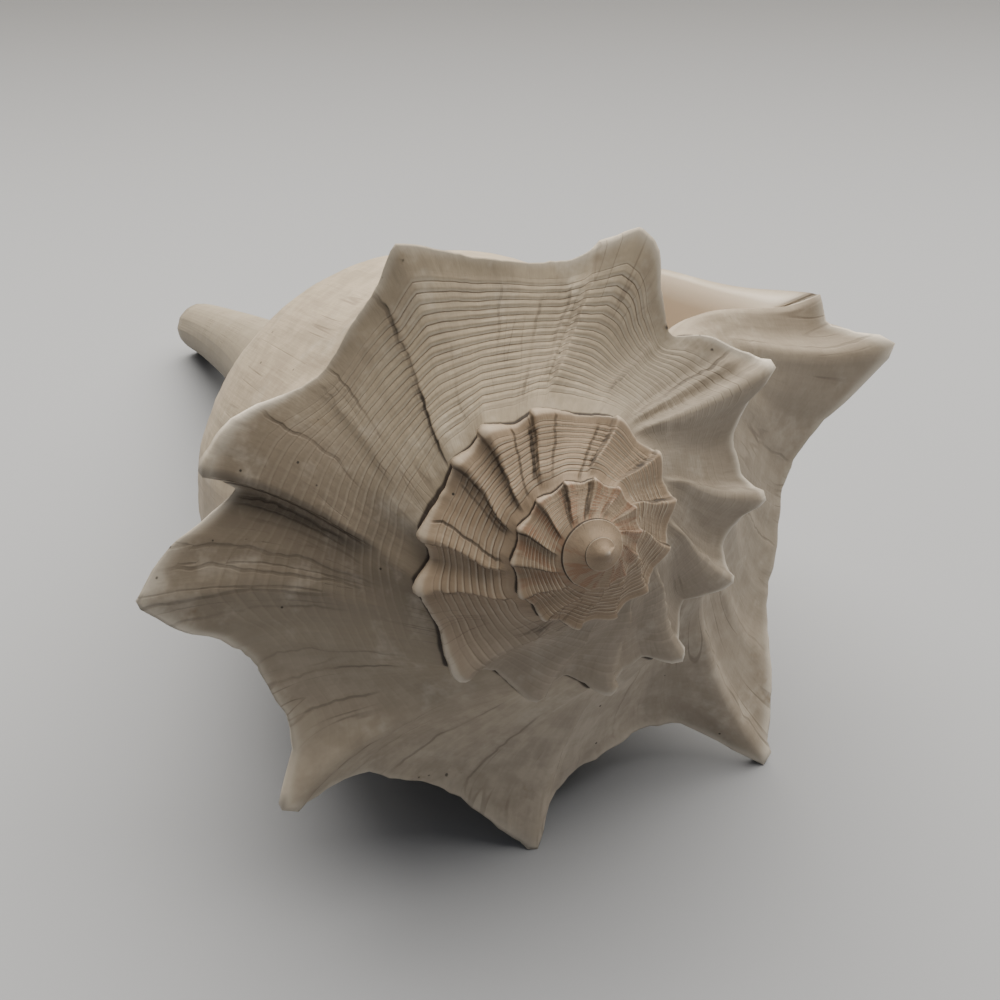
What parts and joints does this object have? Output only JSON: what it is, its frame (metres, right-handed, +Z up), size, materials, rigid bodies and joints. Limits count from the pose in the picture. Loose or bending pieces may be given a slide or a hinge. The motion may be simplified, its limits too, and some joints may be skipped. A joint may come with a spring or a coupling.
{
  "type": "lightning whelk shell",
  "caption": "Left-handed whelk shell with a spined shoulder, a low stepped spire, a wide mouth and a long open canal, lying on its side as a free-standing display piece.",
  "frame": {"origin": "middle of the underside of the bounding box, on the surface that the shell rests on", "axes": "+Z up; the axis of coiling lies in the YZ plane, with the apex towards -Y and the canal towards +Y; +X towards the outer lip"},
  "size_m": [0.143, 0.2192, 0.107],
  "materials": {
    "shell": "matte, chalky, bleached"
  },
  "bodies": {
    "root": {"whelk_shell": "shell"}
  },
  "joints": []
}
